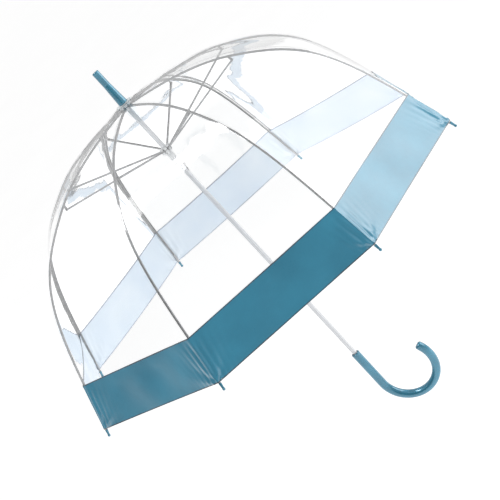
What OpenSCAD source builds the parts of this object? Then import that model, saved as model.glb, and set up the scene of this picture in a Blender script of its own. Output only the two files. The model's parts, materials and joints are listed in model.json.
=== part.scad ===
// Children's dome umbrella: clear canopy with a coloured trim band, eight ribs in two links, eight
// stretchers, a sliding runner, a straight tube shaft and a crook handle.
// Frame: +Z up the shaft towards the ferrule, origin on the shaft's axis at the middle of the straight
// grip. The crook's hook and rib 0 lie in the +X half plane. Millimetres.

/* [Canopy and ribs] */
// Radius from the shaft's axis to the canopy's lower corners, umbrella open
open_radius = 337; // [300:1:410]
// Height of the ribs' crown pivots above the plane of the canopy's lower corners
dome_height = 288; // [250:1:350]
// Slanted width of the coloured trim band
band_width = 64; // [40:1:90]
// Thickness of the canopy sheet
sheet_t = 0.6; // [0.4:0.1:1]
// Drop angle of the ribs where they leave the crown, degrees
crown_slope = 4; // [2:1:10]
// Drop angle of the ribs at their middle joint, degrees
joint_slope = 26.6; // [20:0.2:32]
// Drop angle of the ribs at the rim, degrees
rim_slope = 72; // [66:1:80]
// Fullness of the dome's shoulder, as the curve's upper handle over its chord
shoulder_upper = 0.353; // [0.25:0.01:0.42]
// Fullness of the dome's wall, as the curve's lower handle over its chord
shoulder_lower = 0.605; // [0.5:0.01:0.65]

/* [Rib section] */
// Width of the fluted rib
rib_w = 2.4; // [2.2:0.1:3]
// Height of the fluted rib
rib_h = 2.6; // [2.2:0.1:3.2]
// Wall of the fluted rib and stretcher
flute_wall = 0.55; // [0.45:0.05:0.7]
// Radius from the shaft's axis to the rib's middle hinge
hinge_r = 167; // [145:1:190]
// Distance of the rib's middle hinge below the crown pivots
hinge_drop = 35; // [28:1:60]
// Distance of the stretcher's joint from the rib's middle hinge, measured inwards
joint_inset = 4; // [3:0.5:8]
// Distance of the stretcher's joint below the rib's middle hinge
joint_drop = 5; // [4:0.5:8]

/* [Stretchers] */
// Distance from the crown pivots down to the runner pivots, umbrella open
runner_drop = 81; // [70:1:95]
// Width of the stretcher's single part
stretcher_w = 2; // [1.8:0.1:2.2]
// Height of the stretcher
stretcher_h = 2.2; // [1.8:0.1:2.6]
// Length of the stretcher's forked outer end
fork_len = 9; // [6:0.5:14]
// Thickness of each fork plate
fork_t = 0.7; // [0.6:0.1:1]

/* [Shaft] */
// Outside diameter of the shaft tube
shaft_d = 7; // [6:0.1:7.4]
// Wall of the shaft tube
shaft_wall = 0.6; // [0.5:0.1:0.8]
// Bare shaft between the plane of the canopy's lower corners and the handle's mouth
shaft_free = 204; // [180:1:250]

/* [Crown and runner] */
// Radius of the crown's ring of rib pivots
crown_pivot_r = 7.2; // [7:0.1:8]
// Height of the crown
crown_h = 8.5; // [8:0.5:12]
// Radius of the runner's ring of stretcher pivots
runner_pivot_r = 6.6; // [6.6:0.1:7.4]
// Height of the runner's slotted head
runner_head_h = 8; // [7:0.5:10]
// Length of the runner's sleeve below its head
sleeve_len = 26; // [20:1:40]
// Wall of the runner's sleeve
sleeve_wall = 1; // [0.8:0.1:1]
// Diameter of the pivot wires
wire_d = 1; // [0.8:0.1:1.2]

/* [Ferrule] */
// Length of the ferrule
ferrule_len = 58; // [45:1:75]
// Diameter of the ferrule at its base
ferrule_base_d = 14; // [12:0.5:16]
// Diameter of the ferrule's straight end
ferrule_end_d = 10.6; // [9.6:0.1:11.6]
// Length of the ferrule's straight end
ferrule_end_len = 24; // [15:1:30]

/* [Handle] */
// Diameter of the handle's tube
handle_d = 13; // [12:0.5:16]
// Length of the handle's straight grip
grip_len = 64; // [55:1:90]
// Radius of the crook, to the middle of the tube
crook_r = 44; // [36:1:52]
// Angle that the crook turns through, degrees
crook_turn = 203; // [180:1:215]
// Length of the cap on the crook's end
cap_len = 6; // [4:0.5:9]

/* [Rib tips] */
// Length that each rib tip stands past the canopy
tip_len = 12; // [9:1:16]
// Least wall of the rib tips round the rib
tip_wall = 0.3; // [0.2:0.05:0.8]

/* [Fits] */
// Radial clearance of the running fits
run_gap = 0.08; // [0.05:0.01:0.1]
// Gap between pieces that are fixed together
seat_gap = 0.05; // [0.03:0.01:0.1]
// Gap between pieces that move past each other
pass_gap = 0.3; // [0.25:0.05:0.4]

/* [Hidden] */
n_ribs = 8;

teal = [0.16, 0.50, 0.62];
steel = [0.78, 0.79, 0.80];
white = [0.93, 0.94, 0.94];
clear = [0.90, 0.95, 0.97, 0.4];

$fn = 40;
step_deg = 360 / n_ribs;
// Plane of the canopy's lower corners, above the grip's middle
rim_z = grip_len / 2 + shaft_free;
mouth_z = grip_len / 2;
crook_z = -grip_len / 2;
crown_z = rim_z + dome_height;
runner_z = crown_z - runner_drop;
rib_mid = rib_h / 2;
rib_steps = 14;
eye_w = 1.6;
crown_eye_r = 1.7;
neck_len = 5.8;
bore_r = wire_d / 2 + run_gap;
slot_w = eye_w + 2 * pass_gap;
crown_r = crown_pivot_r + 1.8;
runner_r = runner_pivot_r + 1.8;

// Crown pivot, middle hinge, rim and stretcher joint of a rib, as [radius, height]
crown_pt = [crown_pivot_r, crown_z];
hinge_pt = [hinge_r, crown_z - hinge_drop];
rim_pt = [open_radius, rim_z];
joint_pt = hinge_pt - [joint_inset, joint_drop];
runner_pt = [runner_pivot_r, runner_z];

function along(drop) = [cos(drop), -sin(drop)];
function cross2(a, b) = a[0] * b[1] - a[1] * b[0];
// Where the line from p along u meets the line from q along v
function meet(p, u, q, v) = p + u * cross2(q - p, v) / cross2(u, v);
function bezier(c, t) = c[0] * pow(1 - t, 3) + c[1] * 3 * t * pow(1 - t, 2) + c[2] * 3 * t * t * (1 - t)
    + c[3] * pow(t, 3);
function slope(c, t) = (c[1] - c[0]) * 3 * pow(1 - t, 2) + (c[2] - c[1]) * 6 * t * (1 - t)
    + (c[3] - c[2]) * 3 * t * t;
function unit(v) = v / norm(v);
// The curve's point at t, moved by d along its outward normal
function off(c, t, d) = let (u = unit(slope(c, t))) bezier(c, t) + d * [-u[1], u[0]];

// Centre lines of the rib's two links
knee = meet(crown_pt, along(crown_slope), hinge_pt, along(joint_slope));
upper_curve = [crown_pt, (crown_pt + knee * 2) / 3, (hinge_pt + knee * 2) / 3, hinge_pt];
lower_chord = norm(rim_pt - hinge_pt);
lower_curve = [hinge_pt, hinge_pt + along(joint_slope) * shoulder_upper * lower_chord,
    rim_pt - along(rim_slope) * shoulder_lower * lower_chord, rim_pt];
upper_len = norm(hinge_pt - crown_pt);

// Outline between two offsets of a curve, from t0 to t1
function strip(c, t0, t1, low, high, n = rib_steps) = concat(
    [for (i = [0 : n]) off(c, t0 + (t1 - t0) * i / n, high)],
    [for (i = [n : -1 : 0]) off(c, t0 + (t1 - t0) * i / n, low)]);

// Places a radial-plane shape at rib k
module at_rib(k) rotate([0, 0, k * step_deg]) children();
// Extrudes an outline in the radial plane, w thick and centred on it
module plate(w) rotate([90, 0, 0]) linear_extrude(w, center = true) children();
// A disc or pin across the radial plane at point p
module across(p, r, w) translate([p[0], 0, p[1]]) rotate([90, 0, 0]) cylinder(r = r, h = w, center = true);
// A bar between two points, half-height r, in the radial plane
module bar(p, q, r) polygon([p + r * perp(p, q), q + r * perp(p, q), q - r * perp(p, q), p - r * perp(p, q)]);
function perp(p, q) = let (u = unit(q - p)) [-u[1], u[0]];

// ---- Shaft -------------------------------------------------------------------------------------
shaft_r = shaft_d / 2;
shaft_bottom = mouth_z - 40;
washer_t = 1;
clamp_low = crown_z + crown_h / 2 + pass_gap;
canopy_clamp_z = clamp_low + sheet_t + pass_gap;
ferrule_z = canopy_clamp_z + washer_t + seat_gap;
shaft_top = ferrule_z + 26;
catch_w = 1.2;
catch_len = 22;
catch_slot = catch_w + 2 * pass_gap;
catch_pin_r = 0.6;
catch_pin_x = -0.6;
sleeve_bottom = runner_z - runner_head_h / 2 - sleeve_len;
// Lower end of each catch, where its pin is
top_catch_z = sleeve_bottom - pass_gap - catch_len;
// Travel of the runner from open to closed
closed_joint_r = 12;
joint_arm = norm(joint_pt - crown_pt);
stretcher_len = norm(joint_pt - runner_pt);
closed_joint_z = crown_z - sqrt(pow(joint_arm, 2) - pow(closed_joint_r - crown_pivot_r, 2));
closed_runner_z = closed_joint_z - sqrt(pow(stretcher_len, 2) - pow(closed_joint_r - runner_pivot_r, 2));
travel = runner_z - closed_runner_z;
window_low = 6;
window_h = 18;
bottom_catch_z = sleeve_bottom - travel + window_low + pass_gap + catch_len;
// The catches stand midway between two ribs; the top one points up and the bottom one down
catch_turn = step_deg / 2;
module at_catches() rotate([0, 0, catch_turn]) {
    translate([0, 0, top_catch_z]) children();
    translate([0, 0, bottom_catch_z]) mirror([0, 0, 1]) children();
}

module shaft() color(steel) difference() {
    translate([0, 0, shaft_bottom]) cylinder(r = shaft_r, h = shaft_top - shaft_bottom);
    translate([0, 0, shaft_bottom - 1]) cylinder(r = shaft_r - shaft_wall, h = shaft_top - shaft_bottom + 2);
    at_catches() {
        translate([0, -catch_slot / 2, -2.4]) cube([shaft_r + 1, catch_slot, catch_len + 3.2]);
        across([catch_pin_x, 0], catch_pin_r + seat_gap, shaft_d + 2);
    }
}
module catch_pins() color(steel) at_catches() across([catch_pin_x, 0], catch_pin_r, shaft_d - 0.4);

// A flat spring catch: an eye on its pin, a blade, and a nose that stands out of the shaft's slot
module catch_spring() color(steel) difference() {
    union() {
        across([catch_pin_x, 0], 1.5, catch_w);
        plate(catch_w) polygon([[catch_pin_x - 0.6, 0], [catch_pin_x + 1.4, -0.3], [3.2, 5], [6.9, catch_len - 3],
            [6.9, catch_len], [4.1, catch_len], [2, catch_len - 5], [0, 8]]);
    }
    across([catch_pin_x, 0], catch_pin_r + run_gap, catch_w + 1);
}
module top_catch() rotate([0, 0, catch_turn]) translate([0, 0, top_catch_z]) catch_spring();
module bottom_catch() rotate([0, 0, catch_turn]) translate([0, 0, bottom_catch_z]) mirror([0, 0, 1])
    catch_spring();

// ---- Slotted rings of the crown and the runner ----------------------------------------------------
// Radial slots for the eyes, from one height to another, and an open groove for the pivot wire
module eye_slots(pivot_r, low, high) for (k = [0 : n_ribs - 1]) at_rib(k)
    translate([pivot_r - crown_eye_r - pass_gap, -slot_w / 2, low]) cube([10, slot_w, high - low]);
module wire_groove(pivot_r, z) translate([0, 0, z]) rotate_extrude()
    translate([pivot_r - wire_d / 2 - seat_gap, -wire_d / 2 - seat_gap]) square([6, wire_d + 2 * seat_gap]);
module wire_ring(pivot_r, z) color(steel) translate([0, 0, z]) rotate_extrude()
    translate([pivot_r, 0]) circle(r = wire_d / 2);

module crown() color(white) difference() {
    translate([0, 0, crown_z - crown_h / 2]) cylinder(r = crown_r, h = crown_h);
    translate([0, 0, crown_z - crown_h]) cylinder(r = shaft_r + seat_gap, h = 2 * crown_h);
    eye_slots(crown_pivot_r, crown_z - crown_h, crown_z + crown_eye_r + 2 * pass_gap);
    wire_groove(crown_pivot_r, crown_z);
}
module crown_wire() wire_ring(crown_pivot_r, crown_z);

flange_h = 2.4;
module runner() color(white) difference() {
    union() {
        translate([0, 0, runner_z - runner_head_h / 2]) cylinder(r = runner_r, h = runner_head_h);
        translate([0, 0, sleeve_bottom]) cylinder(r = shaft_r + run_gap + sleeve_wall, h = sleeve_len + 1);
        translate([0, 0, sleeve_bottom + 3]) cylinder(r = runner_r - 1, h = flange_h);
        translate([0, 0, runner_z - runner_head_h / 2 - 3]) cylinder(r1 = runner_r - 2.8, r2 = runner_r - 0.8, h = 3.01);
    }
    translate([0, 0, sleeve_bottom - 1]) cylinder(r = shaft_r + run_gap, h = sleeve_len + runner_head_h + 2);
    // the slots run the whole length, so that the stretchers' ends can pass along the sleeve
    eye_slots(runner_pivot_r, sleeve_bottom - 1, runner_z + runner_head_h);
    wire_groove(runner_pivot_r, runner_z);
    rotate([0, 0, catch_turn]) translate([0, -catch_slot / 2, sleeve_bottom + window_low])
        cube([runner_r + 1, catch_slot, window_h]);
}
module runner_wire() wire_ring(runner_pivot_r, runner_z);

// ---- Ferrule and washer ---------------------------------------------------------------------------
washer_r = 13;
clamp_hole_r = shaft_r + 1;
module top_washer() color(clear) translate([0, 0, canopy_clamp_z]) difference() {
    cylinder(r = washer_r, h = washer_t);
    translate([0, 0, -1]) cylinder(r = shaft_r + seat_gap, h = washer_t + 2);
}
ferrule_round = 1.5;
module ferrule() color(teal) translate([0, 0, ferrule_z]) difference() {
    rotate_extrude() polygon(concat([[0, 0], [ferrule_base_d / 2 - 0.6, 0], [ferrule_base_d / 2, 0.6],
        [ferrule_base_d / 2, 2], [ferrule_end_d / 2, ferrule_len - ferrule_end_len],
        [ferrule_end_d / 2, ferrule_len - ferrule_round]],
        [for (a = [15 : 15 : 90]) [ferrule_end_d / 2 - ferrule_round * (1 - cos(a)),
            ferrule_len - ferrule_round * (1 - sin(a))]],
        [[0, ferrule_len]]));
    translate([0, 0, -1]) cylinder(r = shaft_r + seat_gap, h = shaft_top - ferrule_z + 1.5);
}

// ---- Handle ---------------------------------------------------------------------------------------
handle_r = handle_d / 2;
mouth_depth = 9;
// Places children at the crook's end, +Z along the tube
module at_crook_end() translate([crook_r, 0, crook_z]) rotate([0, -crook_turn, 0]) translate([-crook_r, 0, 0])
    rotate([180, 0, 0]) children();
module handle() color(teal) difference() {
    union() {
        translate([0, 0, crook_z]) cylinder(r = handle_r, h = grip_len - 1);
        translate([0, 0, mouth_z - 1.01]) cylinder(r1 = handle_r, r2 = handle_r - 0.8, h = 1.01);
        translate([crook_r, 0, crook_z]) rotate([90, 0, 0]) rotate([0, 0, 180])
            rotate_extrude(angle = crook_turn) translate([crook_r, 0]) circle(r = handle_r);
    }
    translate([0, 0, shaft_bottom - 1]) cylinder(r = shaft_r + seat_gap, h = grip_len + 20);
    translate([0, 0, mouth_z - mouth_depth]) cylinder(r = handle_r - 1.6, h = mouth_depth + 1);
}
module crook_cap() color(teal) at_crook_end() translate([0, 0, seat_gap]) rotate_extrude()
    polygon(concat([[0, 0], [handle_r - 0.15, 0], [handle_r - 0.15, cap_len - 3.5]],
        [for (a = [15 : 15 : 90]) [(handle_r - 0.15) - 3.5 * (1 - cos(a)), cap_len - 3.5 * (1 - sin(a))]],
        [[0, cap_len]]));

// ---- Ribs -----------------------------------------------------------------------------------------
hinge_eye_r = rib_mid;
hinge_pin_r = 0.65;
hinge_w = 0.8;
hinge_clear = hinge_eye_r + pass_gap;
neck_t = neck_len / upper_len;
upper_end_t = 1 - (hinge_clear + 0.2) / upper_len;
// The tab under the rib that the stretcher is riveted to
tab_w = 1.2;
tab_r = 1.6;
rivet_r = 0.7;

module rib_upper(k) at_rib(k) color(steel) difference() {
    union() {
        across(crown_pt, crown_eye_r, eye_w);
        plate(eye_w) polygon(strip(upper_curve, 0, neck_t + 0.02, -rib_mid, rib_mid, 2));
        plate(rib_w) polygon(strip(upper_curve, neck_t, 1, -rib_mid, rib_mid));
        across(hinge_pt, hinge_eye_r, rib_w);
        plate(tab_w) bar(joint_pt, joint_pt + [-1, joint_drop + 1.6], tab_r);
        across(joint_pt, tab_r, tab_w);
    }
    across(crown_pt, bore_r, rib_w + 1);
    across(joint_pt, rivet_r + run_gap, rib_w + 1);
    // the flute, open towards the shaft
    plate(rib_w - 2 * flute_wall) polygon(strip(upper_curve, neck_t + 0.03, upper_end_t - 0.1, -rib_mid - 1,
        rib_mid - flute_wall));
    // the slot of the middle hinge
    difference() {
        plate(hinge_w + 0.1) bar(hinge_pt - along(joint_slope) * hinge_clear, hinge_pt + along(joint_slope) * 3, 3);
        across(hinge_pt, hinge_pin_r, rib_w);
    }
}

lower_neck_t = (hinge_clear + 0.4) / lower_chord / 1.06;
past_rim = 5;
module rib_lower(k) at_rib(k) color(steel) difference() {
    union() {
        across(hinge_pt, hinge_eye_r, hinge_w);
        plate(hinge_w) polygon(strip(lower_curve, 0, lower_neck_t + 0.01, -rib_mid, rib_mid, 2));
        plate(rib_w) polygon(strip(lower_curve, lower_neck_t, 1, -rib_mid, rib_mid, 2 * rib_steps));
        plate(rib_w) bar(rim_pt - along(rim_slope), rim_pt + along(rim_slope) * past_rim, rib_mid);
    }
    across(hinge_pt, hinge_pin_r + run_gap, rib_w + 1);
    plate(rib_w - 2 * flute_wall) polygon(strip(lower_curve, lower_neck_t + 0.02, 0.97, -rib_mid - 1,
        rib_mid - flute_wall, 2 * rib_steps));
}

// Tip: a sleeve over the rib's end with a small round head
tip_r = norm([rib_h, rib_w]) / 2 + seat_gap + tip_wall;
tip_start = pass_gap + 0.6;
socket_len = past_rim - tip_start + seat_gap;
module rib_tip(k) at_rib(k) color(teal) translate([rim_pt[0], 0, rim_pt[1]]) rotate([0, 90 + rim_slope, 0])
    translate([0, 0, tip_start]) difference() {
        rotate_extrude() polygon(concat([[0, 0], [tip_r - 0.3, 0], [tip_r, 0.4], [tip_r - 0.5, tip_len - 4.5]],
            [for (a = [-30 : 30 : 90]) [tip_r * cos(a), tip_len - 0.9 - tip_r + tip_r * sin(a)]],
            [[0, tip_len - 0.9]]));
        translate([0, 0, (socket_len - 1) / 2])
            cube([rib_h + 2 * seat_gap, rib_w + 2 * seat_gap, socket_len + 1], center = true);
    }

// ---- Stretchers -----------------------------------------------------------------------------------
stretcher_half = stretcher_h / 2;
fork_in = tab_w / 2 + pass_gap;
reach = unit(joint_pt - runner_pt);
fork_start = stretcher_len - fork_len;
module stretcher(k) at_rib(k) color(steel) difference() {
    union() {
        across(runner_pt, crown_eye_r, eye_w);
        plate(eye_w) bar(runner_pt, runner_pt + reach * (neck_len + 1), stretcher_half);
        plate(stretcher_w) bar(runner_pt + reach * neck_len, runner_pt + reach * fork_start, stretcher_half);
        plate(2 * (fork_in + fork_t)) bar(runner_pt + reach * (fork_start - 4), joint_pt, stretcher_half);
        across(joint_pt, stretcher_half + 0.6, 2 * (fork_in + fork_t));
        across(joint_pt, 1.1, 2 * (fork_in + fork_t) + 0.8);
    }
    across(runner_pt, bore_r, rib_w + 1);
    plate(stretcher_w - 2 * flute_wall) bar(runner_pt + reach * (neck_len + 3) + perp(runner_pt, joint_pt),
        runner_pt + reach * (fork_start - 5) + perp(runner_pt, joint_pt), stretcher_half);
    // the gap between the fork's plates, with the rivet left in it
    difference() {
        plate(2 * fork_in) bar(runner_pt + reach * fork_start, joint_pt + reach * 6, 5);
        across(joint_pt, rivet_r, rib_w + 1);
    }
}

// ---- Canopy and trim band -------------------------------------------------------------------------
// Each piece is the share of the cover around one rib, out to the middle of the gores on both sides.
// Its two faces fall away from the rib line, so the gap there clears the rib's outer corners.
sheet_gap = rib_mid + pass_gap + rib_w / 2 * tan(step_deg / 2);
edge_gap = pass_gap / 2;
// t on the lower curve where the band's upper edge is: the wall is nearly straight there
band_t = 1 - band_width / (3 * norm(lower_curve[3] - lower_curve[2])) * 1.18;
// Points of the cover's inner face in the radial plane, from the clamped middle to the band
cover_line = concat(
    [[clamp_hole_r, clamp_low], [crown_r + 2, clamp_low]],
    [for (i = [2 : rib_steps - 4]) off(upper_curve, i / (rib_steps - 4), sheet_gap)],
    [for (i = [1 : rib_steps]) off(lower_curve, i / rib_steps * band_t, sheet_gap)]);
band_line = [for (i = [0 : 3]) off(lower_curve, band_t + (1 - band_t) * i / 3, sheet_gap)];

// Points of one station: right edge, rib line and left edge, with the face moved out by t
function station(line, i, t) = let (
        a = line[max(i - 1, 0)], b = line[min(i + 1, len(line) - 1)], u = unit(b - a),
        p = line[i] + t * [-u[1], u[0]], half = p[0] * cos(step_deg / 2),
        x = half * cos(step_deg / 2), y = half * sin(step_deg / 2), cut = min(edge_gap, y / 4))
    [[x + cut * 0.383, -y + cut, p[1]], [p[0], 0, p[1]], [x + cut * 0.383, y - cut, p[1]]];
// A closed sheet, t thick, on a radial-plane line
module cover(line, t) let (n = len(line),
        pts = [for (side = [0, t]) for (i = [0 : n - 1]) each station(line, i, side)], top = 3 * n)
    polyhedron(points = pts, faces = concat(
        [for (i = [0 : n - 2]) for (j = [0, 1]) let (a = 3 * i + j) each [[a, a + 1, a + 4], [a, a + 4, a + 3]]],
        [for (i = [0 : n - 2]) for (j = [0, 1]) let (a = top + 3 * i + j) each [[a, a + 4, a + 1], [a, a + 3, a + 4]]],
        [for (i = [0 : n - 2]) let (a = 3 * i) each [[a, a + 3, top + a + 3], [a, top + a + 3, top + a]]],
        [for (i = [0 : n - 2]) let (a = 3 * i + 2) each [[a, top + a + 3, a + 3], [a, top + a, top + a + 3]]],
        [for (j = [0, 1]) each [[j, top + j, top + j + 1], [j, top + j + 1, j + 1]]],
        [for (j = [0, 1]) let (a = 3 * n - 3 + j) each [[a, a + 1, top + a + 1], [a, top + a + 1, top + a]]]));

seam = 0.15;
canopy_line = [for (i = [0 : len(cover_line) - 1]) i < len(cover_line) - 1 ? cover_line[i]
    : cover_line[i] - seam * unit(cover_line[i] - cover_line[i - 1])];
module canopy(k) at_rib(k) color(clear) cover(canopy_line, sheet_t);
module band(k) at_rib(k) color(teal) cover(band_line, sheet_t);

shaft();
ferrule();
top_washer();
crown();
crown_wire();
handle();
crook_cap();
catch_pins();
runner();
runner_wire();
top_catch();
bottom_catch();
for (k = [0 : n_ribs - 1]) {
    rib_upper(k);
    rib_lower(k);
    stretcher(k);
    rib_tip(k);
    canopy(k);
    band(k);
}
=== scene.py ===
"""A children's dome umbrella, open: clear canopy with a teal trim band, fluted ribs, crook handle."""

import json
import math

import bpy
import numpy as np
from mathutils import Matrix, Vector


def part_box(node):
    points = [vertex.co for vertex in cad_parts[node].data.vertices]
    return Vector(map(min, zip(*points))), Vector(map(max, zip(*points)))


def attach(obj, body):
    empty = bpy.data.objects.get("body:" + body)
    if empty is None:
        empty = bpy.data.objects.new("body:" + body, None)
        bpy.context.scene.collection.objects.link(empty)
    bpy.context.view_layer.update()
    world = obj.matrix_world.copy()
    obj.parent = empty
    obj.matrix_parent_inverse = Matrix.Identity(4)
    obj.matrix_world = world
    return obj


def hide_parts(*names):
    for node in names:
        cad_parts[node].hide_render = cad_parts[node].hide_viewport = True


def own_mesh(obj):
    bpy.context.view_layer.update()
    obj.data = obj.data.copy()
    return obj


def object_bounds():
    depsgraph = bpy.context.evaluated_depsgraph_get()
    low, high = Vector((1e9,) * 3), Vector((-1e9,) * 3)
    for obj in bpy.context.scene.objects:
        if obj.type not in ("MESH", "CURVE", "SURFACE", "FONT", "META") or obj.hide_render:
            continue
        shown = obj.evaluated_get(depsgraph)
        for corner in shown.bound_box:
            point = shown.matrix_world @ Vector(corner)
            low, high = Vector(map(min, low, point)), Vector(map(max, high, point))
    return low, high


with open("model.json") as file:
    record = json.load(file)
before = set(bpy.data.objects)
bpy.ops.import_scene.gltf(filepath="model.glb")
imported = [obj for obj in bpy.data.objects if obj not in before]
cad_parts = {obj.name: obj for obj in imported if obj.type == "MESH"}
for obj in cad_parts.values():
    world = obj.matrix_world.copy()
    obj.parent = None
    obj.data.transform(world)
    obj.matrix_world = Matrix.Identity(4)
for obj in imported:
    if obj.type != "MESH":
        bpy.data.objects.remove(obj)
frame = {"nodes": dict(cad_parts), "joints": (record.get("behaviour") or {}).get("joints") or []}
cad_low, cad_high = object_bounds()
nodes = frame["nodes"]
RIBS = range(8)


# ---- Handle, crook cap, ferrule and rib tips -----------------------------------------------------
# Moulded in one teal plastic with a pearly pigment and polished to a high gloss. The handle is
# pressed on the shaft's lower end, the cap plugs the crook, and the tips are pushed on the ribs.


class Value:
    """One output of a finish's or the surround's nodes. Arithmetic on it adds Math nodes."""

    def __init__(self, socket):
        self.socket = socket

    def node(self, kind, settings=None, inputs=None, output=0):
        """Adds a node beside this one: its settings first, then its inputs. Gives that output of it."""
        tree = self.socket.id_data
        made = tree.nodes.new("ShaderNode" + kind)
        for name, setting in (settings or {}).items():
            if name == "stops":
                for extra in setting[2:]:
                    made.color_ramp.elements.new(extra[0])
                for element, (place, colour) in zip(made.color_ramp.elements, setting):
                    element.position = place
                    element.color = (*colour, 1)
            else:
                setattr(made, name, setting)
        for name, value in (inputs or {}).items():
            if isinstance(value, Value):
                tree.links.new(value.socket, made.inputs[name])
            else:
                made.inputs[name].default_value = value
        return Value(made.outputs[output])

    def math(self, operation, first, second):
        return self.node("Math", {"operation": operation}, {0: first, 1: second})

    def noise(self, scale, detail=2.0):
        """Clouds of that many to the metre, with self as the place in the pattern."""
        return self.node("TexNoise", None, {"Vector": self, "Scale": scale, "Detail": detail})

    def stretched(self, x, y, z):
        """The place in the pattern, scaled on each axis: below 1 draws the pattern out along it."""
        return self.node("VectorMath", {"operation": "MULTIPLY"}, {0: self, 1: (x, y, z)})

    def ramp(self, *stops):
        """The colour for this value, between stops (value, colour) in rising order."""
        return self.node("ValToRGB", {"stops": stops}, {"Fac": self})

    def bump(self, strength, distance):
        return self.node("Bump", None, {"Height": self, "Strength": strength, "Distance": distance})

    def into(self, node, name):
        """Links this value to an input of a node."""
        self.socket.id_data.links.new(self.socket, node.inputs[name])

    def __add__(self, other):
        return self.math("ADD", self, other)

    def __sub__(self, other):
        return self.math("SUBTRACT", self, other)

    def __rsub__(self, other):
        return self.math("SUBTRACT", other, self)

    def __mul__(self, other):
        return self.math("MULTIPLY", self, other)

    __radd__ = __add__


def finish(name, **constants):
    """A new finish, its main shader with these fixed values, and the place on the object."""
    material = bpy.data.materials.new(name)
    material.use_nodes = True
    shader = material.node_tree.nodes["Principled BSDF"]
    for socket, value in constants.items():
        shader.inputs[socket.replace("_", " ")].default_value = value
    place = material.node_tree.nodes.new("ShaderNodeTexCoord").outputs["Object"]
    return material, shader, Value(place)


def paint(material, *names):
    """Puts a finish on CAD nodes."""
    for name in names:
        for slot in nodes[name].material_slots:
            slot.material = material


def pearl_plastic():
    material, shader, place = finish(
        "teal_pearl_plastic", Coat_Weight=1.0, Coat_IOR=1.7, Coat_Roughness=0.03
    )
    clouds = place.noise(45, 3)
    sparkle = place.noise(2600, 1)
    shade = clouds * 0.6 + sparkle * 0.4
    teal = shade.ramp((0.35, (0.012, 0.165, 0.260)), (0.62, (0.022, 0.235, 0.360)))
    teal.into(shader, "Base Color")
    scuffs = place.stretched(1, 1, 0.08).noise(420, 3)
    (0.16 + scuffs * 0.12).into(shader, "Roughness")
    (0.22 + sparkle * 0.2).into(shader, "Metallic")
    (place.noise(300) + scuffs * 0.3).bump(0.08, 0.0004).into(shader, "Normal")
    return material


teal_plastic = pearl_plastic()
paint(teal_plastic, "handle", "crook_cap", "ferrule", *(f"rib_tip_{k}" for k in RIBS))


# ---- Shaft ---------------------------------------------------------------------------------------
# A straight steel tube, drawn and then powder coated white. It is slotted for the two catches.


def coated_tube():
    material, shader, place = finish("white_coated_steel", Coat_Weight=0.6, Coat_Roughness=0.12)
    drawn = place.stretched(1, 1, 0.02).noise(900, 3)
    drawn.ramp((0.3, (0.60, 0.61, 0.63)), (0.7, (0.76, 0.77, 0.79))).into(shader, "Base Color")
    (0.24 + drawn * 0.16).into(shader, "Roughness")
    (0.42 - drawn * 0.2).into(shader, "Metallic")
    (place.noise(1500) + drawn).bump(0.06, 0.0002).into(shader, "Normal")
    return material


paint(coated_tube(), "shaft")


# ---- Crown and runner ----------------------------------------------------------------------------
# White nylon mouldings. The crown is fixed on the shaft and holds the ribs; the runner slides on
# it and holds the stretchers. Handling has left the runner slightly less shiny than the crown.


def white_nylon(name, dull):
    material, shader, place = finish(name, Subsurface_Weight=0.08, Subsurface_Radius=(0.002,) * 3)
    grain = place.noise(160, 4)
    grain.ramp((0.3, (0.72, 0.73, 0.74)), (0.7, (0.84, 0.85, 0.85))).into(shader, "Base Color")
    (dull + grain * 0.15).into(shader, "Roughness")
    (place.noise(2200) + grain * 0.5).bump(0.1, 0.0002).into(shader, "Normal")
    return material


paint(white_nylon("white_nylon", 0.25), "crown")
paint(white_nylon("handled_nylon", 0.38), "runner")


# ---- Clamping washer -----------------------------------------------------------------------------
# A disc of clear plastic between the ferrule and the canopy, which it clamps on the crown.


def clear_moulding():
    material, shader, place = finish("clear_moulding")
    haze = place.noise(240, 3)
    haze.ramp((0.3, (0.74, 0.82, 0.85)), (0.7, (0.88, 0.93, 0.94))).into(shader, "Base Color")
    (0.10 + haze * 0.12).into(shader, "Roughness")
    (0.42 + haze * 0.12).into(shader, "Alpha")
    haze.bump(0.1, 0.0003).into(shader, "Normal")
    return material


paint(clear_moulding(), "top_washer")


# ---- Ribs, stretchers, pivot wires and catches ---------------------------------------------------
# Fluted ribs and stretchers are rolled from steel strip with a fine, even grain. The pivot wires are
# plain round wire, and the catches are springs bent from hardened strip.


def rolled_steel(name, dark, light, rough, grain_scale):
    material, shader, place = finish(name, Metallic=1.0)
    grain = place.noise(grain_scale, 4)
    specks = place.noise(3500, 1)
    shade = grain * 0.7 + specks * 0.3
    shade.ramp((0.35, (dark,) * 3), (0.65, (light, light, light * 1.02))).into(shader, "Base Color")
    (rough + grain * 0.2).into(shader, "Roughness")
    (grain + specks).bump(0.12, 0.0001).into(shader, "Normal")
    return material


rib_steel = rolled_steel("rib_steel", 0.40, 0.56, 0.42, 260)
paint(rib_steel, *(f"{part}_{k}" for part in ("rib_upper", "rib_lower", "stretcher") for k in RIBS))
paint(rolled_steel("pivot_wire", 0.46, 0.62, 0.15, 500), "crown_wire", "runner_wire", "catch_pins")
paint(rolled_steel("catch_spring", 0.34, 0.48, 0.22, 380), "top_catch", "bottom_catch")


# ---- Canopy film ---------------------------------------------------------------------------------
# Clear vinyl film, about 0.15 mm thick, cut in eight gores that are welded together over the ribs
# and stretched by them. Between two ribs it pulls in slightly, with soft pleats beside each weld.

# Points this near to rib 0's plane count as on it
IN_PLANE = 1e-5
# Steps to the neighbouring points that a slope and a normal are taken from
SLOPE_STEP = 1e-4
NORMAL_STEP = 1e-3


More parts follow.
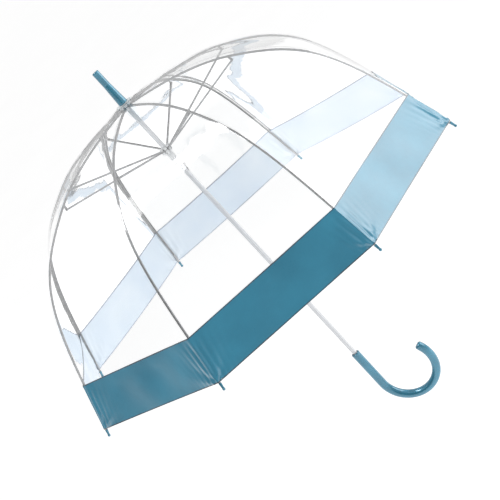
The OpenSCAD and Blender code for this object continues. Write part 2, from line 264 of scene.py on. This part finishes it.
def middle_line(name):
    """Points (radius, height) of rib 0's line on a CAD sheet, midway between its two faces."""
    faces = {
        (round(v.co.x, 5), round(v.co.z, 5))
        for v in nodes[name].data.vertices
        if abs(v.co.y) < IN_PLANE
    }
    rim_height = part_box("band_0")[0].z
    order = sorted(faces, key=lambda p: math.atan2(p[0], p[1] - rim_height))
    return [np.add(a, b) / 2 for a, b in zip(order[0::2], order[1::2])]


film_line = middle_line("canopy_0")
band_line = middle_line("band_0")
line_points = np.array(film_line[:-1] + band_line)
line_steps = np.linalg.norm(np.diff(line_points, axis=0), axis=1)
line_lengths = np.concatenate([[0], np.cumsum(line_steps)])
line_slopes = np.gradient(line_points, line_lengths, axis=0)
SEAM_AT = line_lengths[len(film_line) - 1]
RIM_AT = line_lengths[-1]


def on_line(along):
    """(radius, height) of the sheet over a rib, at a length from the crown's middle."""
    i = np.clip(np.searchsorted(line_lengths, along, side="right") - 1, 0, len(line_steps) - 1)
    step = line_steps[i][..., None]
    t = (along - line_lengths[i])[..., None] / step
    start, end = line_points[i], line_points[i + 1]
    return (
        (1 + 2 * t) * (1 - t) ** 2 * start
        + t * t * (3 - 2 * t) * end
        + t * (1 - t) ** 2 * step * line_slopes[i]
        - t * t * (1 - t) * step * line_slopes[i + 1]
    )


# Half the angle between two ribs
HALF_STEP = math.pi / 8
# Depth at the middle of a gore, as a share of its width
SAG_SHARE = 0.014
# Heights of the pleats beside the welds, and of the band's long waves
FILM_PLEAT = 0.0007
BAND_PLEAT = 0.0009
BAND_WAVE = 0.0012
# Distance from the weld over which the pleats rise, and from the seam over which they change over
WELD_REACH = 0.006
SEAM_REACH = 0.02
# Distances over which each kind of pleat dies away
NARROW_PLEAT_REACH = 0.035
WIDE_PLEAT_REACH = 0.08
EDGE_CREASE_REACH = 0.016
TIP_CREASE_REACH = 0.045
# Keeps the creases that fan out from a rib's tip from meeting in one point
TIP_SPREAD = 0.004


def dying(distance, reach):
    return np.exp(-distance / reach)


def pull_in(gore, across, along, width):
    """How far the sheet stands in from the flat gore: its sag, pleats and waves."""
    side = np.minimum(across, 1 - across)
    from_rib = side * width
    from_rim = RIM_AT - along
    # Each side of each gore has its own phase, so that no two are creased alike
    turn = gore * 2.4 + (across > 0.5) * 1.3
    fade = (1 - 2 * side) ** 2
    near = np.clip(from_rib / WELD_REACH, 0, 1)
    sag = SAG_SHARE * width * 4 * across * (1 - across)
    # Pleats and creases have so many radians to the metre across the gore, and a few along it
    narrow = np.sin(from_rib * 190 + turn + along * 9) * dying(from_rib, NARROW_PLEAT_REACH)
    wide = np.sin(from_rib * 83 + 2 * turn - along * 14) * dying(from_rib, WIDE_PLEAT_REACH)
    pleats = narrow + 0.6 * wide
    in_band = np.clip((along - SEAM_AT) / SEAM_REACH, 0, 1)
    down = np.clip((along - SEAM_AT) / (RIM_AT - SEAM_AT), 0, 1)
    creases = np.sin(from_rib * (560 + 240 * down) + turn * 1.7) * dying(from_rib, EDGE_CREASE_REACH)
    fan = np.arctan2(from_rim + TIP_SPREAD, from_rib + TIP_SPREAD)
    from_tip = np.hypot(from_rim, from_rib)
    creases = creases + np.sin(fan * 9 + turn) * dying(from_tip, TIP_CREASE_REACH)
    waves = np.sin(across * 17 + gore * 1.9) * np.sin(down * math.pi) * np.sin(across * math.pi) ** 2
    return (
        sag
        + (FILM_PLEAT * pleats * (1 - in_band) + BAND_PLEAT * creases * in_band) * near * fade
        + BAND_WAVE * waves * in_band
    )


def gore_points(gore, across, along):
    """Places on a gore: across runs from 0 at its first rib to 1 at its second."""
    radius, height = np.moveaxis(on_line(along), -1, 0)
    first, middle, second = (2 * gore + np.arange(3)) * HALF_STEP
    flat = np.stack(
        [
            radius * ((1 - across) * math.cos(first) + across * math.cos(second)),
            radius * ((1 - across) * math.sin(first) + across * math.sin(second)),
            height,
        ],
        -1,
    )
    ahead, behind = np.minimum(along + SLOPE_STEP, RIM_AT), np.maximum(along - SLOPE_STEP, 0)
    slope = on_line(ahead) - on_line(behind)
    slope = slope / np.linalg.norm(slope, axis=-1, keepdims=True)
    outward = np.stack(
        [-slope[..., 1] * math.cos(middle), -slope[..., 1] * math.sin(middle), slope[..., 0]], -1
    )
    depth = pull_in(gore, across, along, 2 * radius * math.sin(HALF_STEP))
    return flat - outward * depth[..., None]


def gore_normals(gore, across, along):
    """Outward directions on a gore, from its neighbouring points."""
    right, left = across + NORMAL_STEP, across - NORMAL_STEP
    ahead, behind = np.minimum(along + NORMAL_STEP, RIM_AT), np.maximum(along - NORMAL_STEP, 0)
    by_across = gore_points(gore, right, along) - gore_points(gore, left, along)
    by_along = gore_points(gore, across, ahead) - gore_points(gore, across, behind)
    normals = np.cross(by_along, by_across)
    return normals / np.linalg.norm(normals, axis=-1, keepdims=True)


def joint(name):
    """A joint's pivot (radius, height) in rib 0's plane, and its far limit."""
    found = next(j for j in frame["joints"] if j["name"] == name)
    return np.array([found["pos_m"][0], found["pos_m"][2]]), math.radians(found["range_deg"][1])


CROWN_PIVOT, FOLD = joint("rib_fold_0")
HINGE, BEND = joint("rib_bend_0")
HINGE_AT = min(np.linspace(0, SEAM_AT, 500), key=lambda s: np.linalg.norm(on_line(s) - HINGE))
SHOULDER_AT = (HINGE_AT + SEAM_AT) / 2
# Each part of a half gore: where it starts and ends, the body and the CAD node under it, its rows
FILM_PARTS = {
    "top": (0.0, HINGE_AT, "inner_rib", "rib_upper", 34),
    "shoulder": (HINGE_AT, SHOULDER_AT, "outer_rib", "rib_lower", 20),
    "wall": (SHOULDER_AT, SEAM_AT, "outer_rib", "rib_lower", 20),
}
FILM_COLUMNS = 17
LEAST_SHARE = 0.03


def turned(points, pivot, angle):
    c, s = math.cos(angle), math.sin(angle)
    return (points - pivot) @ np.array([[c, -s], [s, c]]) + pivot


def fold_with_rib(piece, rib, side, start, end):
    """Works out the half gore's gathering as the umbrella closes, but applies none of it; only copies
    its mesh.
    """
    line = on_line(np.linspace(start, end, 9))
    closed = line if start < HINGE_AT else turned(line, HINGE, -BEND)
    closed = turned(closed, CROWN_PIVOT, FOLD)
    shares = closed[1:, 0] / line[1:, 0]
    keep = float(np.clip((shares.mean() + shares.min()) / 2, LEAST_SHARE, 1))
    drop = line[-1] - line[0]
    drop = drop / np.linalg.norm(drop)
    radial = np.array([math.cos(2 * rib * HALF_STEP), math.sin(2 * rib * HALF_STEP), 0])
    tangent = np.array([-radial[1], radial[0], 0]) * side
    outward = -drop[1] * radial + drop[0] * np.array([0, 0, 1])
    axis = math.cos(HALF_STEP) * tangent + math.sin(HALF_STEP) * drop[1] * outward
    centre = line.mean(0)
    anchor = centre[0] * radial + np.array([0, 0, centre[1]])
    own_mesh(piece)


def flat_size(start, end):
    """Width, length and area of a half gore's piece of film, laid flat."""
    along = np.linspace(start, end, 60)
    widths = on_line(along)[:, 0] * math.sin(HALF_STEP)
    return (float(widths.max()), float(end - start)), float(widths.mean() * (end - start))


def half_gore(rib, side):
    """The gore on that side of a rib, and its fraction across where the rib is."""
    return (rib, 0.0) if side > 0 else ((rib - 1) % 8, 1.0)


def distance_from_rib(across, along, at_rib):
    width = np.abs(at_rib - across) * 2 * math.sin(HALF_STEP)
    return (width * on_line(along)[..., 0]).ravel()


def grid(columns, rows, flip):
    """Faces between points in rows, turned over when flip is set."""
    order = (3, 2, 1, 0) if flip else (0, 1, 2, 3)
    faces = []
    for row in range(rows - 1):
        for column in range(columns - 1):
            start = row * columns + column
            corners = (start, start + 1, start + columns + 1, start + columns)
            faces.append(tuple(corners[i] for i in order))
    return faces


def attach_sheet(piece, rib, side, start, end, links):
    """Puts a half gore's piece on its body, in place of its CAD node."""
    body, holder, stands_for, slot = links
    bpy.context.scene.collection.objects.link(piece)
    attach(piece, f"{body}_{rib}")
    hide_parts(f"{stands_for}_{rib}")
    flat, area = flat_size(start, end)
    fold_with_rib(piece, rib, side, start, end)


def edge_line(value, full, gone):
    """1 where the value is below full, fading to 0 where it is above gone."""
    return value.node(
        "MapRange",
        {"interpolation_type": "SMOOTHSTEP"},
        {"Value": value, "From Min": full, "From Max": gone, "To Min": 1.0, "To Max": 0.0},
    )


def clear_vinyl():
    material, unused, place = finish("clear_vinyl")
    tree = material.node_tree
    tree.nodes.remove(unused)
    cut = place.node("UVMap", {"uv_map": "cut"})
    from_rib = cut.node("SeparateXYZ", None, {"Vector": cut})
    ripples = place.noise(14, 2) + place.noise(60, 2) * 0.15
    weld = edge_line(from_rib, 0.0018, 0.0030)
    normal = (ripples + weld * 0.15).bump(0.25, 0.004)
    open_film = place.node("BsdfTransparent", None, {"Color": (0.985, 0.99, 0.992, 1)})
    gloss = place.node(
        "BsdfGlossy", None, {"Color": (1, 1, 1, 1), "Roughness": 0.06, "Normal": normal}
    )
    glance = place.node("Fresnel", None, {"IOR": 1.55, "Normal": normal})
    share = glance * 1.2 + weld * 0.08
    film = place.node("MixShader", None, {0: share, 1: open_film, 2: gloss})
    film.into(tree.nodes["Material Output"], "Surface")
    return material


clear_film = clear_vinyl()


def film_piece(part, rib, side):
    start, end, body, holder, rows = FILM_PARTS[part]
    gore, at_rib = half_gore(rib, side)
    spread = (np.linspace(0, 1, FILM_COLUMNS) ** 1.3) * 0.5
    across, along = np.meshgrid(np.abs(at_rib - spread), np.linspace(start, end, rows + 1))
    points = gore_points(gore, across, along).reshape(-1, 3)
    normals = gore_normals(gore, across, along).reshape(-1, 3)
    mesh = bpy.data.meshes.new("film")
    mesh.from_pydata(points.tolist(), [], grid(FILM_COLUMNS, rows + 1, side > 0))
    from_rib = distance_from_rib(across, along, at_rib)
    layer = mesh.uv_layers.new(name="cut")
    for loop in mesh.loops:
        layer.data[loop.index].uv = (from_rib[loop.vertex_index], along.ravel()[loop.vertex_index])
    mesh.shade_smooth()
    mesh.normals_split_custom_set_from_vertices(normals.tolist())
    mesh.materials.append(clear_film)
    piece = bpy.data.objects.new(f"film_{part}_{rib}_{'right' if side > 0 else 'left'}", mesh)
    attach_sheet(piece, rib, side, start, end, (body, holder, "canopy", "clear_film"))


for rib in RIBS:
    for side in (-1, 1):
        for part in FILM_PARTS:
            film_piece(part, rib, side)


# ---- Trim band -----------------------------------------------------------------------------------
# A strip of the same film, printed teal outside and pale inside, welded on the canopy's lower edge
# and hemmed at the rim. Its inside colour is partly the pale print and partly painted light: the
# blue tint stands in for light shining through the teal face. It is creased where the ribs' tips
# pull it tight.

BAND_THICK = 0.00045
BAND_COLUMNS = 41
BAND_ROWS = 30
HEM_WIDTH = 0.0045
HEM_THICK = 0.0006
# The overlap at the seam is narrower than the hem
SEAM_SHARE = 0.7


def printed_film(name, edge, dark, light, rough, **constants):
    material, shader, place = finish(name, **constants)
    cut = place.node("UVMap", {"uv_map": "cut"})
    from_rim = cut.node("SeparateXYZ", None, {"Vector": cut}, output=1)
    from_edge = from_rim.math("MINIMUM", from_rim, RIM_AT - SEAM_AT - from_rim)
    weld = edge_line(from_edge, 0.0010, 0.0022)
    clouds = place.noise(14, 4)
    threads = cut.stretched(1, 0.15, 1).noise(1800, 2)
    shade = clouds * 0.8 + threads * 0.2 - weld * 0.45
    shade.ramp((0.05, edge), (0.32, dark), (0.7, light)).into(shader, "Base Color")
    (rough + threads * 0.1 + clouds * 0.06).into(shader, "Roughness")
    (place.noise(60, 3) * 0.6 + threads * 0.08).bump(0.2, 0.0015).into(shader, "Normal")
    return material


teal_band = printed_film(
    "teal_printed_film",
    (0.050, 0.090, 0.120),
    (0.014, 0.200, 0.320),
    (0.028, 0.285, 0.440),
    0.22,
    Coat_Weight=1.0,
    Coat_IOR=1.85,
    Coat_Roughness=0.2,
)
# Pale back: partly its print, partly painted light, its blue tint standing in for light through the
# teal
pale_back_and_painted_through_light = printed_film(
    "pale_back_painted_through_light", (0.42, 0.46, 0.54), (0.70, 0.80, 0.91), (0.84, 0.91, 0.97), 0.30
)


def border_faces(faces, count):
    """Faces that close the gap between a sheet's two sides along its border."""
    border = {}
    for face in faces:
        for a, b in zip(face, face[1:] + face[:1]):
            if (b, a) in border:
                border.pop((b, a))
            else:
                border[(a, b)] = face
    return [(b, a, a + count, b + count) for a, b in border]


def band_piece(rib, side):
    gore, at_rib = half_gore(rib, side)
    spread = (np.linspace(0, 1, BAND_COLUMNS) ** 1.6) * 0.5
    # Two close rows make the step at the hem
    hem_rows = 1 - np.array([1.1, 0.9]) * HEM_WIDTH / (RIM_AT - SEAM_AT)
    down = np.sort(np.concatenate([np.linspace(0, 1, BAND_ROWS), hem_rows]))
    across, along = np.meshgrid(np.abs(at_rib - spread), SEAM_AT + down * (RIM_AT - SEAM_AT))
    middle = gore_points(gore, across, along).reshape(-1, 3)
    normals = gore_normals(gore, across, along).reshape(-1, 3)
    from_rim = RIM_AT - along.ravel()
    from_seam = along.ravel() - SEAM_AT
    doubled = (from_rim < HEM_WIDTH) | (from_seam < HEM_WIDTH * SEAM_SHARE)
    half = (BAND_THICK + HEM_THICK * doubled)[:, None] / 2
    points = np.concatenate([middle + normals * half, middle - normals * half])
    count = len(middle)
    outer = grid(BAND_COLUMNS, len(along), side > 0)
    inner = [tuple(i + count for i in face[::-1]) for face in outer]
    mesh = bpy.data.meshes.new("band")
    mesh.from_pydata(points.tolist(), [], outer + inner + border_faces(outer, count))
    from_rib = distance_from_rib(across, along, at_rib)
    layer = mesh.uv_layers.new(name="cut")
    split = []
    for face in mesh.polygons:
        is_border = face.index >= 2 * len(outer)
        face.material_index = 1 if len(outer) <= face.index < 2 * len(outer) else 0
        for loop in face.loop_indices:
            vertex = mesh.loops[loop].vertex_index
            layer.data[loop].uv = (from_rib[vertex % count], from_rim[vertex % count])
            outward = normals[vertex % count] * (1 if vertex < count else -1)
            split.append(face.normal[:] if is_border else outward.tolist())
    mesh.materials.append(teal_band)
    mesh.materials.append(pale_back_and_painted_through_light)
    mesh.shade_smooth()
    mesh.normals_split_custom_set(split)
    piece = bpy.data.objects.new(f"trim_{rib}_{'right' if side > 0 else 'left'}", mesh)
    attach_sheet(piece, rib, side, SEAM_AT, RIM_AT, ("outer_rib", "rib_lower", "band", "teal_film"))


for rib in RIBS:
    for side in (-1, 1):
        band_piece(rib, side)


# ---- Floor, light and camera ---------------------------------------------------------------------
# A plain white studio: a wide pale floor under the umbrella, a large soft light on the right, a
# narrow one above, and a surround that is darker on the left so that the gloss shows.

MIDDLE = (0, 0, 0.25)
FLOOR_DROP = 0.45
FLOOR_HALF = 30
# Where the surround is darkest: azimuth and elevation in degrees
DARK_SIDE = (250, 8)
SURROUND_LIGHT = 0.62
CAMERA_AIM = (-0.0089, -0.0044, 0.2539)
# Azimuth and elevation in degrees, and distance, from the aim
CAMERA_PLACE = (296.44, 14.89, 2.271)
CAMERA_ROLL = -42.9
CAMERA_LENS = 114.8


def look_at(thing, place, target, roll=0.0):
    facing = (Vector(target) - Vector(place)).to_track_quat("-Z", "Y")
    thing.matrix_world = Matrix.Translation(place) @ facing.to_matrix().to_4x4()
    thing.matrix_world = thing.matrix_world @ Matrix.Rotation(roll, 4, "Z")


def around(azimuth, elevation, distance, target):
    a, e = math.radians(azimuth), math.radians(elevation)
    out = Vector((math.cos(a) * math.cos(e), math.sin(a) * math.cos(e), math.sin(e)))
    return Vector(target) + out * distance


def soft_light(name, place, width, height, power):
    """A rectangular light at (azimuth, elevation, distance) from the umbrella's middle."""
    light = bpy.data.lights.new(name, "AREA")
    light.shape = "RECTANGLE"
    light.size = width
    light.size_y = height
    light.energy = power
    holder = bpy.data.objects.new(name, light)
    bpy.context.scene.collection.objects.link(holder)
    look_at(holder, around(*place, MIDDLE), MIDDLE)
    holder.visible_camera = False


floor_z = cad_low.z - FLOOR_DROP
corners = [
    (x * FLOOR_HALF, y * FLOOR_HALF, floor_z) for x, y in ((-1, -1), (1, -1), (1, 1), (-1, 1))
]
floor_mesh = bpy.data.meshes.new("floor")
floor_mesh.from_pydata(corners, [], [(0, 1, 2, 3)])
floor = bpy.data.objects.new("floor", floor_mesh)
bpy.context.scene.collection.objects.link(floor)
floor_paint, floor_shader, floor_place = finish(
    "floor_paint", Roughness=0.9, Emission_Strength=0.5, Emission_Color=(1, 1, 1, 1)
)
floor_place.noise(3, 2).ramp((0.3, (0.93,) * 3), (0.7, (0.96,) * 3)).into(floor_shader, "Base Color")
floor_mesh.materials.append(floor_paint)

soft_light("wide_light", (19, 20, 2.4), 1.9, 1.9, 27)
soft_light("top_light", (250, 68, 2.2), 0.5, 1.6, 17)

world = bpy.data.worlds.new("studio")
bpy.context.scene.world = world
world.use_nodes = True
surround = Value(world.node_tree.nodes.new("ShaderNodeTexCoord").outputs["Generated"])
toward = around(*DARK_SIDE, 1, (0, 0, 0))
nearness = surround.node("VectorMath", {"operation": "DOT_PRODUCT"}, {0: surround, 1: toward}, output=1)
shade = nearness.ramp((0.0, (1.0,) * 3), (0.35, (0.85,) * 3), (0.66, (0.40,) * 3))
seen = surround.node("LightPath")
lit = surround.node("Background", None, {"Color": shade, "Strength": SURROUND_LIGHT})
blank = surround.node("Background", None, {"Color": (1, 1, 1, 1), "Strength": 1.0})
mixed = surround.node("MixShader", None, {0: seen, 1: lit, 2: blank})
mixed.into(world.node_tree.nodes["World Output"], "Surface")

camera_data = bpy.data.cameras.new("camera")
camera_data.sensor_width = 36
camera_data.lens = CAMERA_LENS
camera = bpy.data.objects.new("camera", camera_data)
bpy.context.scene.collection.objects.link(camera)
look_at(camera, around(*CAMERA_PLACE, CAMERA_AIM), CAMERA_AIM, math.radians(CAMERA_ROLL))
bpy.context.scene.camera = camera
bpy.context.scene.view_settings.view_transform = "Standard"
